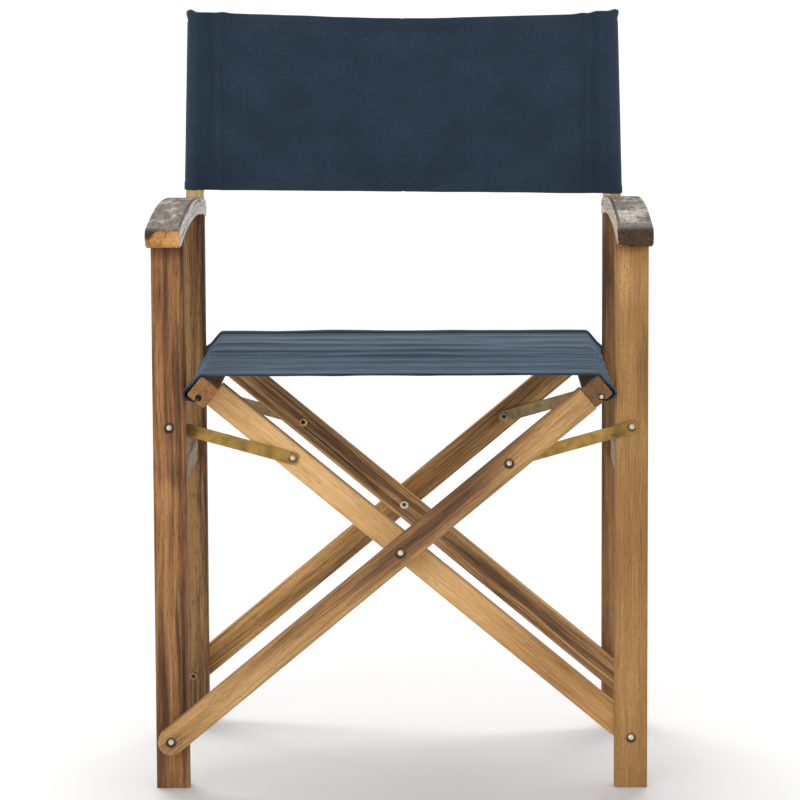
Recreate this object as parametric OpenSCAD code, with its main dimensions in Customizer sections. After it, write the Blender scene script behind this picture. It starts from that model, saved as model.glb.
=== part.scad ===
// Folding director chair: two wooden side frames joined by crossed braces, a canvas seat and a canvas back.
// X runs across the seat, Y from the front to the back, Z up from the floor.

/* [Overall] */
// Clear width between the inner faces of the two side frames
clear_w = 481; // [465:1:500]
// Depth over the front and rear legs
frame_depth = 394; // [380:2:430]
// Height of the armrest's crown above the floor
arm_crown_z = 651; // [630:1:680]

/* [Legs] */
// Width of a leg across the chair
leg_w = 37; // [34:1:42]
// Depth of a leg from front to back
leg_d = 25; // [24:1:30]
// Corner radius of legs, braces, rails and stretchers
edge_r = 3; // [1:0.5:4]
// Thickness of the stretcher between two legs
stretcher_t = 17; // [14:1:20]
// Height of the stretcher's section
stretcher_h = 30; // [24:1:40]
// Height of the stretcher's lower edge above the floor
stretcher_z = 325; // [300:1:340]

/* [Armrests] */
// Width of an armrest
arm_w = 40; // [38:1:46]
// Length of an armrest
arm_len = 470; // [450:2:500]
// Thickness of an armrest
arm_t = 20; // [18:1:24]
// Rise of the arch from the armrest's ends to its middle
arm_rise = 15; // [8:1:20]

/* [Back posts] */
// Diameter of a back post
post_dia = 21.5; // [18:0.5:22]
// Distance from the chair's middle to a post's axis at the armrest
post_x = 252; // [250:1:256]
// Height of a post's top above the floor
post_top_z = 864; // [820:1:900]
// Inward lean of a post in degrees
post_lean = 1.5; // [0:0.1:2]

/* [Braces] */
// Width of a brace
brace_w = 30; // [26:1:34]
// Thickness of a brace from front to back
brace_t = 20; // [16:1:22]
// Height of the foot pivots above the floor
foot_pivot_z = 57; // [50:1:65]
// Height of the centre pivots above the floor
centre_pivot_z = 272; // [262:1:280]
// Distance along a brace from the centre pivot to the link pivot
link_reach = 158; // [150:1:165]
// Distance along a brace from the centre pivot to the seat rail's axis
rail_reach = 285; // [280:1:287]

/* [Seat rails] */
// Seat rail's section along the brace
rail_a = 25; // [24:1:27]
// Seat rail's section across the brace
rail_b = 27; // [25:1:28]
// Length of a seat rail
rail_len = 441; // [440:1:450]
// Radius of the keyhole groove in a seat rail
groove_r = 3.6; // [3.2:0.1:4]
// Depth of the keyhole's centre below the rail's face
groove_depth = 5.7; // [5:0.1:7]
// Width of the groove's slot
groove_slot = 2.8; // [2.4:0.1:3.2]
// Radius of the rod in the canvas hem
hem_rod_r = 2.3; // [2:0.1:2.4]
// How far the left rod's front end lies back in its hem
rod_back = 6; // [0:1:10]

/* [Links] */
// Width of a link plate
link_w = 14; // [12:1:16]
// Thickness of a link plate
link_t = 2; // [1.5:0.1:2]
// Height of the link pivots in the legs above the floor
link_pivot_z = 411; // [405:1:415]

/* [Canvas] */
// Thickness of the canvas
canvas_t = 1.2; // [0.8:0.1:1.4]
// Width of the seat canvas from front to back
seat_canvas_w = 437; // [420:1:440]
// Distance of the sleeves' seams from the chair's middle
seam_x = 217; // [212:1:222]
// Distance of the seams in front of the posts' middle
seam_front = 6; // [4:0.5:7]
// Height of the back canvas's lower edge above the floor
back_low_z = 652; // [648:1:660]
// Height of the back canvas's upper edge above the floor
back_high_z = 862; // [820:1:862]

/* [Fasteners] */
// Radius of the pivot bolts
bolt_r = 4; // [3:0.5:4]
// Radius of a bolt's flange
head_r = 5.2; // [5:0.1:6]
// Height of a bolt's flange
head_h = 1.4; // [1.2:0.1:1.8]
// Height of a bolt's domed end above the face
dome_h = 1.2; // [0.8:0.1:1.6]
// Depth of the ring round a bolt's domed end
dome_recess = 1.1; // [0.8:0.1:1.4]
// Radius of the link screws and rivets
screw_r = 3.6; // [3:0.1:4]
// Radius of the wooden dowels
dowel_r = 4; // [3:0.5:4]
// Radius of the dowels that hold a seat rail on its braces
rail_dowel_r = 3; // [2.5:0.5:3]

/* [Hidden] */
// Radial clearance of a running fit
fit = 0.05;
// Gap between faces that slide past each other
gap = 0.3;
// Overshoot of a cutting shape past the face that it cuts
past = 1;
// Overlap that joins two outlines of one sheet
weld = 0.2;
// Facets of ordinary circles, and of the armrest's large arcs
round_fn = 48;
arc_fn = 720;
wood = "peru";
grey_wood = "rosybrown";
dark_wood = "sienna";
brass = "darkgoldenrod";
steel = "silver";
navy = "darkslateblue";

leg_x = clear_w / 2 + leg_w / 2;
half_depth = frame_depth / 2;
leg_y = half_depth - leg_d / 2;
leg_face_in = half_depth - leg_d;
// Space between a leg and a brace, which holds one link plate
layer = link_t + 2 * gap;
outer_y0 = half_depth + layer;
outer_y1 = outer_y0 + brace_t;
inner_y1 = leg_face_in - layer;
inner_y0 = inner_y1 - brace_t;

// Braces at rest: angle from the floor, and length from the foot pivot to the centre pivot
brace_angle = atan2(centre_pivot_z - foot_pivot_z, leg_x);
foot_reach = norm([leg_x, centre_pivot_z - foot_pivot_z]);

// Armrest arcs about one centre, which lies below the floor
arm_top_r = (pow(arm_len / 2, 2) + pow(arm_rise, 2)) / (2 * arm_rise);
arm_low_r = arm_top_r - arm_t;
arm_centre_z = arm_crown_z - arm_top_r;
arm_x = clear_w / 2 + arm_w / 2 + 0.5;
arm_seat_z = arm_centre_z + sqrt(pow(arm_top_r, 2) - pow(leg_y, 2));

// Back posts: turned tenon below the armrest's counterbore
tenon_r = 8;
tenon_low = -68;
counterbore = 5;
post_len = (post_top_z - arm_seat_z) / cos(post_lean);

// Seat canvas: where it leaves the rail's upper corner
canvas_gap = 0.4;
rail_x = rail_reach * cos(brace_angle);
rail_z = centre_pivot_z + rail_reach * sin(brace_angle);
corner_a = rail_a / 2 - edge_r;
corner_b = rail_b / 2 - edge_r;
corner_x = rail_x + corner_a * cos(brace_angle) - corner_b * sin(brace_angle);
corner_z = rail_z + corner_a * sin(brace_angle) + corner_b * cos(brace_angle);
canvas_z = corner_z + edge_r + canvas_gap;

// Link plate from the leg's pivot to the brace's pivot
link_dx = leg_x - link_reach * cos(brace_angle);
link_dz = link_pivot_z - centre_pivot_z - link_reach * sin(brace_angle);
link_len = norm([link_dx, link_dz]);
link_angle = atan2(link_dz, link_dx);

// Side -1 is the left of the chair as seen from the front, and side 1 the right
module on_side(side) mirror([side < 0 ? 1 : 0, 0, 0]) children();

// End -1 is the front of the chair, and end 1 the back
module at_end(end) mirror([0, end < 0 ? 1 : 0, 0]) children();

// Extrudes an outline that is drawn in X and Z from y0 to y1
module along_y(y0, y1) translate([0, y1, 0]) rotate([90, 0, 0]) linear_extrude(height = y1 - y0) children();

// Round bar along Y through the point x, z
module rod_y(x, z, r, y0, y1) along_y(y0, y1) translate([x, z]) circle(r, $fn = round_fn);

// Rectangle with round corners, about its middle
module soft_rect(w, h, r) {
  square([w - 2 * r, h], center = true);
  square([w, h - 2 * r], center = true);
  for (sx = [-1, 1], sy = [-1, 1])
    translate([sx * (w / 2 - r), sy * (h / 2 - r)]) circle(r, $fn = round_fn);
}

// Places children in a brace's own axes: X along the brace, upwards from the centre pivot
module on_brace() translate([0, 0, centre_pivot_z]) rotate([0, -brace_angle, 0]) children();

// Flange of a bolt, with a hexagon socket, which stands on the face at y and points to y + dir
module flange(x, z, y, dir, r) {
  socket_r = r * 0.55;
  translate([x, y, z]) rotate([-90 * dir, 0, 0]) difference() {
    union() {
      translate([0, 0, -dome_recess]) cylinder(r = r, h = dome_recess + weld, $fn = round_fn);
      cylinder(r = head_r, h = head_h * 0.6, $fn = round_fn);
      translate([0, 0, head_h * 0.6]) cylinder(r1 = head_r, r2 = head_r * 0.85, h = head_h * 0.4, $fn = round_fn);
    }
    cylinder(r = socket_r, h = head_h + past, $fn = 6);
  }
}

// Domed end of a bolt in its bore, sunk below the face at y, which points to y + dir
module dome(x, z, y, dir, r) {
  base_r = r * 0.78;
  translate([x, y, z]) rotate([-90 * dir, 0, 0]) difference() {
    union() {
      translate([0, 0, -dome_recess - weld]) cylinder(r = base_r, h = dome_recess + weld + dome_h * 0.45, $fn = round_fn);
      translate([0, 0, dome_h * 0.45]) cylinder(r1 = base_r, r2 = base_r * 0.82, h = dome_h * 0.3, $fn = round_fn);
      translate([0, 0, dome_h * 0.75]) cylinder(r1 = base_r * 0.82, r2 = base_r * 0.45, h = dome_h * 0.25, $fn = round_fn);
    }
    translate([0, 0, dome_h * 0.3]) cylinder(r = base_r * 0.25, h = dome_h, $fn = 6);
  }
}

// Bolt of radius r from the face at y0 to the face at y1. Its socket end is at y0 and its domed end at y1.
module bolt(x, z, r, y0, y1, socket = true, domed = true) {
  rod_y(x, z, r, y0 + (socket ? dome_recess - weld : 0), y1 - (domed ? dome_recess : 0));
  if (socket) flange(x, z, y0, -1, r);
  if (domed) dome(x, z, y1, 1, r);
}

// Upright leg, cut to the armrest's lower arc, with its bores still to be cut
module leg_blank() {
  intersection() {
    translate([leg_x, leg_y, 0]) linear_extrude(height = arm_crown_z) soft_rect(leg_w, leg_d, edge_r);
    translate([0, 0, arm_centre_z]) rotate([0, 90, 0]) cylinder(r = arm_low_r, h = clear_w, $fn = arc_fn);
  }
}

// Where the stretcher's dowels lie, as heights
dowel_zs = [stretcher_z + stretcher_h * 0.28, stretcher_z + stretcher_h * 0.72];
dowel_half = 11;

// Bores that every leg has: foot pivot, link pivot and stretcher dowels
module leg_bores() {
  rod_y(leg_x, foot_pivot_z, bolt_r + fit, leg_face_in - past, half_depth + past);
  rod_y(leg_x, link_pivot_z, screw_r + fit, leg_face_in - past, half_depth + past);
  for (z = dowel_zs) rod_y(leg_x, z, dowel_r + fit, leg_face_in - past, leg_face_in + dowel_half + gap);
}

module arm_dowel(r, extra) {
  translate([leg_x, leg_y, arm_seat_z - arm_t - dowel_half * 2 - extra])
    cylinder(r = r, h = dowel_half * 3 + 2 * extra, $fn = round_fn);
}

// Places children in a back post's own axes, upwards from the armrest's top
module on_post() translate([post_x, leg_y, arm_seat_z]) rotate([0, -post_lean, 0]) children();

module tenon(r, extra) on_post() translate([0, 0, tenon_low - extra])
  cylinder(r = r, h = -tenon_low + 2 * extra, $fn = round_fn);

module front_leg(side) color(wood) on_side(side) at_end(-1) difference() {
  leg_blank();
  leg_bores();
  arm_dowel(dowel_r + fit, gap);
}

module rear_leg(side) color(wood) on_side(side) difference() {
  leg_blank();
  leg_bores();
  tenon(tenon_r + fit, gap);
}

module stretcher(side) color(dark_wood) on_side(side) difference() {
  translate([leg_x, 0, stretcher_z + stretcher_h / 2]) rotate([90, 0, 0])
    linear_extrude(height = 2 * leg_face_in, center = true) soft_rect(stretcher_t, stretcher_h, edge_r);
  for (end = [-1, 1], z = dowel_zs)
    at_end(end) rod_y(leg_x, z, dowel_r + fit, leg_face_in - dowel_half - gap, leg_face_in + past);
}

// Armrest's outline from the side: a bent strip with a half-round nose at each end
module arm_outline() {
  nose_y = (arm_len - arm_t) / 2;
  middle_r = arm_top_r - arm_t / 2;
  turn = asin(nose_y / middle_r);
  reach = arm_top_r * 2;
  translate([0, arm_centre_z]) {
    intersection() {
      difference() {
        circle(arm_top_r, $fn = arc_fn);
        circle(arm_low_r, $fn = arc_fn);
      }
      polygon([[0, 0], [reach * sin(turn), reach * cos(turn)], [-reach * sin(turn), reach * cos(turn)]]);
    }
    for (s = [-1, 1]) translate([s * nose_y, middle_r * cos(turn)]) circle(arm_t / 2, $fn = round_fn);
  }
}

module armrest(side) color(grey_wood) on_side(side) difference() {
  translate([arm_x - arm_w / 2, 0, 0]) rotate([90, 0, 90]) linear_extrude(height = arm_w) arm_outline();
  at_end(-1) arm_dowel(dowel_r + fit, gap);
  tenon(tenon_r + fit, gap);
  on_post() translate([0, 0, -counterbore]) cylinder(r = post_dia / 2 + fit, h = arm_t, $fn = round_fn);
}

module back_post(side) color(wood) on_side(side) {
  tenon(tenon_r, 0);
  on_post() translate([0, 0, -counterbore])
    cylinder(r = post_dia / 2, h = post_len + counterbore, $fn = round_fn);
}

module joint_dowels(side) color(wood) on_side(side) {
  for (end = [-1, 1], z = dowel_zs)
    at_end(end) rod_y(leg_x, z, dowel_r, leg_face_in - dowel_half, leg_face_in + dowel_half);
  at_end(-1) arm_dowel(dowel_r, 0);
}

// Foot pivot bolts. The outer braces turn on the left frame's bolts, and the inner braces on the right frame's.
module pivot_bolts(side) color(steel) on_side(side) for (end = [-1, 1]) at_end(end) {
  y0 = side < 0 ? leg_face_in : inner_y0 - gap;
  y1 = side < 0 ? outer_y1 + gap : half_depth;
  bolt(leg_x, foot_pivot_z, bolt_r, y0, y1);
}

// Link screws in the legs. The left links lie inside the legs, and the right links outside them.
module link_screws(side) color(steel) on_side(side) for (end = [-1, 1]) at_end(end) {
  y0 = side < 0 ? inner_y1 : leg_face_in;
  y1 = side < 0 ? half_depth : outer_y0;
  bolt(leg_x, link_pivot_z, screw_r, y0, y1);
}

// Brace in its own axes: round foot end, square top end, and soft long edges
module brace_blank(y0, y1) {
  top_end = rail_reach - rail_a / 2;
  intersection() {
    translate([-foot_reach - brace_w, (y0 + y1) / 2, 0]) rotate([90, 0, 90])
      linear_extrude(height = foot_reach + brace_w + top_end) soft_rect(y1 - y0, brace_w, edge_r);
    along_y(y0 - past, y1 + past) {
      translate([-foot_reach, 0]) circle(brace_w / 2, $fn = round_fn);
      translate([-foot_reach, -brace_w / 2 - past]) square([foot_reach + top_end + past, brace_w + 2 * past]);
    }
  }
}

dowel_top = 14;
dowel_low = 24;
// Dowels that join a brace's top to the seat rail, in the brace's own axes
module rail_dowel(y, b, r, extra) {
  face = rail_reach - rail_a / 2;
  translate([face - dowel_low - extra, y, b]) rotate([0, 90, 0])
    cylinder(r = r, h = dowel_low + dowel_top + 2 * extra, $fn = round_fn);
}
// Across the brace, clear of the rail's groove
dowel_bs = [1.5, 9];

module brace(y0, y1) color(wood) difference() {
  brace_blank(y0, y1);
  rod_y(-foot_reach, 0, bolt_r + fit, y0 - past, y1 + past);
  rod_y(0, 0, bolt_r + fit, y0 - past, y1 + past);
  rod_y(link_reach, 0, screw_r + fit, y0 - past, y1 + past);
  for (b = dowel_bs) rail_dowel((y0 + y1) / 2, b, rail_dowel_r + fit, gap);
}

// The outer braces run from the left feet to the right rail, and the inner ones from the right feet to the left
module outer_brace(end) at_end(end) on_brace() brace(outer_y0, outer_y1);
module inner_brace(end) on_side(-1) at_end(end) on_brace() brace(inner_y0, inner_y1);

// Middle of the layer that the braces of one rail lie in
function brace_mid(side) = side > 0 ? (outer_y0 + outer_y1) / 2 : (inner_y0 + inner_y1) / 2;

module seat_rail(side) color(dark_wood) on_side(side) on_brace() difference() {
  translate([rail_reach, 0, 0]) along_y(-rail_len / 2, rail_len / 2) difference() {
    soft_rect(rail_a, rail_b, edge_r);
    translate([0, groove_depth - rail_b / 2]) circle(groove_r, $fn = round_fn);
    translate([-groove_slot / 2, -rail_b / 2 - past]) square([groove_slot, groove_depth + past]);
  }
  for (end = [-1, 1], b = dowel_bs) rail_dowel(end * brace_mid(side), b, rail_dowel_r + fit, gap);
}

// The left rod lies a little back in its hem
module hem_rod(side) color(steel) on_side(side) on_brace()
  rod_y(rail_reach, groove_depth - rail_b / 2, hem_rod_r, -rail_len / 2 + (side < 0 ? rod_back : 0), rail_len / 2);

module rail_dowels(side) color(wood) on_side(side) on_brace() for (end = [-1, 1], b = dowel_bs)
  rail_dowel(end * brace_mid(side), b, rail_dowel_r, 0);

module centre_pivot_bolts() color(brass) for (end = [-1, 1]) at_end(end) {
  bolt(0, centre_pivot_z, bolt_r, inner_y0 - gap, outer_y1);
}

module centre_spacers() color(steel) for (end = [-1, 1]) at_end(end) along_y(inner_y1 + gap, outer_y0)
  translate([0, centre_pivot_z]) difference() {
    circle(bolt_r * 2, $fn = round_fn);
    circle(bolt_r + fit, $fn = round_fn);
  }

// Bolts that fill the braces' link bores, headed on the face that is away from the link
module brace_link_bolts(side) color(steel) on_side(side) for (end = [-1, 1]) at_end(end) {
  y0 = side > 0 ? outer_y0 : inner_y0;
  x = link_reach * cos(brace_angle);
  z = centre_pivot_z + link_reach * sin(brace_angle);
  bolt(x, z, screw_r, y0, y0 + brace_t, socket = side < 0, domed = side > 0);
}

// Start of the layer that a side's links lie in
function link_y(side) = side > 0 ? half_depth + gap : leg_face_in - gap - link_t;

// Flat plate with round ends and an eye at each end
module link(side, end) color(brass) on_side(side) at_end(end)
  along_y(link_y(side), link_y(side) + link_t)
    translate([leg_x, link_pivot_z]) rotate(180 + link_angle) difference() {
      union() {
        circle(link_w / 2, $fn = round_fn);
        translate([link_len, 0]) circle(link_w / 2, $fn = round_fn);
        translate([0, -link_w / 2]) square([link_len, link_w]);
      }
      circle(screw_r + fit, $fn = round_fn);
      translate([link_len, 0]) circle(screw_r + fit, $fn = round_fn);
    }

// Rivet in a link's free eye, headed on the face that is away from the brace
module rivet(side, end) color(brass) on_side(side) at_end(end) {
  y0 = link_y(side);
  x = link_reach * cos(brace_angle);
  z = centre_pivot_z + link_reach * sin(brace_angle);
  bolt(x, z, screw_r, y0, y0 + link_t, socket = side > 0, domed = side < 0);
}

// Canvas that wraps the rail's outer face, from its groove to its upper corner
module canvas_wrap() difference() {
  translate([0, centre_pivot_z]) rotate(brace_angle) translate([rail_reach, 0]) difference() {
    soft_rect(rail_a + 2 * (canvas_gap + canvas_t), rail_b + 2 * (canvas_gap + canvas_t), edge_r + canvas_gap + canvas_t);
    soft_rect(rail_a + 2 * canvas_gap, rail_b + 2 * canvas_gap, edge_r + canvas_gap);
    translate([-rail_a, -rail_b]) square([rail_a + groove_slot / 2, rail_b]);
  }
  translate([0, centre_pivot_z]) square([corner_x, rail_z]);
}

module seat_canvas() color(navy) along_y(-seat_canvas_w / 2, seat_canvas_w / 2) {
  canvas_wrap();
  mirror([1, 0]) canvas_wrap();
  translate([-corner_x - weld, canvas_z]) square([2 * (corner_x + weld), canvas_t]);
}

// Sleeve that turns round a post. Its front sheet runs in from the post's front to the seam.
module sleeve(side) color(navy) on_side(side) on_post() {
  sleeve_in = post_dia / 2 + gap;
  low = back_low_z - arm_seat_z;
  start = [0, -sleeve_in - canvas_t / 2];
  end = [seam_x + 3 * fit - post_x, -seam_front];
  along = (end - start) / norm(end - start);
  across = [-along[1], along[0]] * canvas_t / 2;
  translate([0, 0, low]) linear_extrude(height = back_high_z - back_low_z) difference() {
    union() {
      circle(sleeve_in + canvas_t, $fn = round_fn);
      polygon([start - across, end - across, end + across, start + across]);
    }
    circle(sleeve_in, $fn = round_fn);
  }
}

// Back canvas: the panel between the seams of the two sleeves, which lean in with the posts
module back_canvas() color(navy) {
  low_x = seam_x - fit - (back_low_z - arm_seat_z) * tan(post_lean);
  high_x = seam_x - fit - (back_high_z - arm_seat_z) * tan(post_lean);
  panel_y = leg_y - seam_front - canvas_t / 2;
  along_y(panel_y, panel_y + canvas_t) polygon([
    [-low_x, back_low_z], [low_x, back_low_z], [high_x, back_high_z], [-high_x, back_high_z]
  ]);
}

front_leg(-1);  // left_front_leg
rear_leg(-1);  // left_rear_leg
stretcher(-1);  // left_stretcher
armrest(-1);  // left_armrest
back_post(-1);  // left_back_post
joint_dowels(-1);  // left_joint_dowels
pivot_bolts(-1);  // left_pivot_bolts
link_screws(-1);  // left_link_screws
front_leg(1);  // right_front_leg
rear_leg(1);  // right_rear_leg
stretcher(1);  // right_stretcher
armrest(1);  // right_armrest
back_post(1);  // right_back_post
joint_dowels(1);  // right_joint_dowels
pivot_bolts(1);  // right_pivot_bolts
link_screws(1);  // right_link_screws
outer_brace(-1);  // front_outer_brace
outer_brace(1);  // rear_outer_brace
seat_rail(1);  // right_seat_rail
hem_rod(1);  // right_hem_rod
rail_dowels(1);  // right_rail_dowels
centre_pivot_bolts();
centre_spacers();
brace_link_bolts(1);  // outer_link_bolts
inner_brace(-1);  // front_inner_brace
inner_brace(1);  // rear_inner_brace
seat_rail(-1);  // left_seat_rail
hem_rod(-1);  // left_hem_rod
rail_dowels(-1);  // left_rail_dowels
brace_link_bolts(-1);  // inner_link_bolts
link(-1, -1);  // front_left_link
link(-1, 1);  // rear_left_link
link(1, -1);  // front_right_link
link(1, 1);  // rear_right_link
rivet(-1, -1);  // front_left_rivet
rivet(-1, 1);  // rear_left_rivet
rivet(1, -1);  // front_right_rivet
rivet(1, 1);  // rear_right_rivet
seat_canvas();
back_canvas();
sleeve(-1);  // left_sleeve
sleeve(1);  // right_sleeve
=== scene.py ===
"""Folding director chair: the looks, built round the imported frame. Metres, in the frame's own axes."""
import math

import bmesh
import bpy
import numpy as np
from mathutils import Euler, Matrix, Vector, noise


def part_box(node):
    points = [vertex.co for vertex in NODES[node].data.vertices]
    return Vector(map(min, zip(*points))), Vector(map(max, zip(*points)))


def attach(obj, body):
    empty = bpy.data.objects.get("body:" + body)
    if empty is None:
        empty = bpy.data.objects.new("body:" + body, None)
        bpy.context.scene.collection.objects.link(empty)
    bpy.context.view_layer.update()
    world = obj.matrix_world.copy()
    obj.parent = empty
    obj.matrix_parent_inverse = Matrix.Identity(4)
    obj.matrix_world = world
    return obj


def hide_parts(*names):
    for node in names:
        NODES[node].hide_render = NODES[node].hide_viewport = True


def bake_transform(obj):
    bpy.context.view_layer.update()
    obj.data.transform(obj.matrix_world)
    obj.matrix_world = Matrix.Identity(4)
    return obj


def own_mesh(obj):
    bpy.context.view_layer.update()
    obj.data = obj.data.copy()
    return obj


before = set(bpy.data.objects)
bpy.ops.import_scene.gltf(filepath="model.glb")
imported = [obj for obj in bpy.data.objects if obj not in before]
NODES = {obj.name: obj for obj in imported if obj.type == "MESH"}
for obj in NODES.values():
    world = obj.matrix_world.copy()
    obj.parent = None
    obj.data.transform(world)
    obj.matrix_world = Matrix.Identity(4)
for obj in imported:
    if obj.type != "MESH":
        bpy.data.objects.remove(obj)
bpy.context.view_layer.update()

MM = 0.001


# ---------------------------------------------------------------- camera, floor and light

def make_camera():
    """Stands a little above the chair's top and right of its middle, and looks slightly down."""
    place = Vector((0.0552, -4.5545, 0.9790))
    yaw, pitch, roll = -0.0127, 0.12256, -0.00437
    ahead = Vector((math.sin(yaw) * math.cos(pitch), math.cos(yaw) * math.cos(pitch), -math.sin(pitch)))
    right = Vector((math.cos(yaw), -math.sin(yaw), 0))
    up = right.cross(ahead)
    across = math.cos(roll) * right + math.sin(roll) * up
    upward = -math.sin(roll) * right + math.cos(roll) * up
    data = bpy.data.cameras.new("camera")
    data.sensor_width = 36
    data.lens = 176.72
    camera = new_object("camera", data)
    turn = Matrix((across, upward, -ahead)).transposed().to_4x4()
    camera.matrix_world = Matrix.Translation(place) @ turn
    bpy.context.scene.camera = camera


def put(tree, kind, inputs=None, **settings):
    """Adds a shader node. An input is a value, or the socket that it is linked to."""
    node = tree.nodes.new(kind)
    for name, value in settings.items():
        setattr(node, name, value)
    for key, value in (inputs or {}).items():
        if isinstance(value, bpy.types.NodeSocket):
            tree.links.new(value, node.inputs[key])
        else:
            node.inputs[key].default_value = value
    return node


def new_object(name, data):
    obj = bpy.data.objects.new(name, data)
    bpy.context.scene.collection.objects.link(obj)
    return obj


def make_floor():
    size = 60
    mesh = bpy.data.meshes.new("floor")
    corners = [(-size, -size, 0), (size, -size, 0), (size, size, 0), (-size, size, 0)]
    mesh.from_pydata(corners, [], [(0, 1, 2, 3)])
    floor = new_object("floor", mesh)
    material = bpy.data.materials.new("pale_floor")
    material.use_nodes = True
    surface = material.node_tree.nodes["Principled BSDF"]
    surface.inputs["Base Color"].default_value = (0.88, 0.88, 0.88, 1)
    surface.inputs["Roughness"].default_value = 0.9
    surface.inputs["Specular IOR Level"].default_value = 0.1
    mesh.materials.append(material)


def make_light():
    world = bpy.data.worlds.new("studio")
    bpy.context.scene.world = world
    world.use_nodes = True
    sky = world.node_tree.nodes["Background"]
    sky.inputs["Color"].default_value = (1, 1, 1, 1)
    sky.inputs["Strength"].default_value = 0.58
    suns = (("top_key", 2.2, 40, (0.10, -0.75, -1.0)), ("front_fill", 0.9, 60, (0.30, 1.0, -0.35)))
    for name, strength, spread, heading in suns:
        light = bpy.data.lights.new(name, "SUN")
        light.energy = strength
        light.angle = math.radians(spread)
        lamp = new_object(name, light)
        lamp.rotation_mode = "QUATERNION"
        lamp.rotation_quaternion = Vector(heading).to_track_quat("-Z", "Y")
    bpy.context.scene.view_settings.view_transform = "Standard"


# ---------------------------------------------------------------- material tools

def srgb(r, g, b):
    """A colour given in 0-255 display values, as linear light."""
    def linear(v):
        v /= 255
        return v / 12.92 if v <= 0.04045 else ((v + 0.055) / 1.055) ** 2.4
    return (linear(r), linear(g), linear(b), 1)


def new_material(name):
    material = bpy.data.materials.new(name)
    material.use_nodes = True
    tree = material.node_tree
    return material, tree, tree.nodes["Principled BSDF"]


def vector_of(tree, operation, a, b):
    return put(tree, "ShaderNodeVectorMath", {0: a, 1: b}, operation=operation).outputs[0]


def scaled(tree, vector, factors):
    return vector_of(tree, "MULTIPLY", vector, factors)


def noise_of(tree, vector, detail=2.0, roughness=0.5, distortion=0.0):
    inputs = {
        "Vector": vector,
        "Scale": 1.0,
        "Detail": detail,
        "Roughness": roughness,
        "Distortion": distortion,
    }
    return put(tree, "ShaderNodeTexNoise", inputs).outputs["Fac"]


def remap(tree, value, low, high, to_low=0.0, to_high=1.0):
    """A smooth step: to_low where the value is low or less, to_high where it is high or more."""
    inputs = {"Value": value, "From Min": low, "From Max": high, "To Min": to_low, "To Max": to_high}
    return put(tree, "ShaderNodeMapRange", inputs, interpolation_type="SMOOTHSTEP").outputs["Result"]


def math_of(tree, operation, a, b):
    return put(tree, "ShaderNodeMath", {0: a, 1: b}, operation=operation).outputs[0]


def mixed(tree, share, a, b):
    """Colour a where the share is 0, and colour b where it is 1."""
    node = put(tree, "ShaderNodeMix", data_type="RGBA", blend_type="MIX")
    for key, value in ((0, share), (6, a), (7, b)):
        if isinstance(value, bpy.types.NodeSocket):
            tree.links.new(value, node.inputs[key])
        else:
            node.inputs[key].default_value = value
    return node.outputs[2]


def bumped(tree, surface, height, strength, depth):
    bump = put(tree, "ShaderNodeBump", {"Height": height, "Strength": strength, "Distance": depth})
    tree.links.new(bump.outputs[0], surface.inputs["Normal"])


# ---------------------------------------------------------------- wood

BRACE_ANGLE = math.radians(39.7)
ALONG_Z = (0, math.pi / 2, 0)
ALONG_Y = (0, 0, -math.pi / 2)
ALONG_OUTER = (0, BRACE_ANGLE, 0)
ALONG_INNER = (0, -BRACE_ANGLE, 0)


def noise_at(tree, vector, along, across, detail=3.0, roughness=0.6, distortion=0.0):
    """Noise stretched along the grain: how often it changes in a metre along the grain, and across it."""
    return noise_of(tree, scaled(tree, vector, (along, across, across)), detail, roughness, distortion)


def added(tree, *parts):
    total = parts[0]
    for part in parts[1:]:
        total = math_of(tree, "ADD", total, part)
    return total


def swing(tree, value, weight):
    """A noise value as a swing about zero."""
    return math_of(tree, "MULTIPLY", math_of(tree, "SUBTRACT", value, 0.5), weight)


def marked(tree, place, marks, start=0.0):
    """Soft spots added up. A mark is its centre, three radii and an amount, in the place's own axes."""
    total = start
    for centre, radii, amount in marks:
        offset = vector_of(tree, "SUBTRACT", place, centre)
        shrunk = scaled(tree, offset, tuple(1 / r for r in radii))
        far = put(tree, "ShaderNodeVectorMath", {0: shrunk}, operation="LENGTH").outputs["Value"]
        total = math_of(tree, "ADD", total, remap(tree, far, 0.0, 1.0, amount, 0.0))
    return total


def ramp_of(tree, value, stops):
    node = put(tree, "ShaderNodeValToRGB", {"Fac": value})
    ramp = node.color_ramp
    while len(ramp.elements) < len(stops):
        ramp.elements.new(0.5)
    for element, (place, colour) in zip(ramp.elements, stops):
        element.position = place
        element.color = colour
    return node.outputs["Color"]


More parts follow.
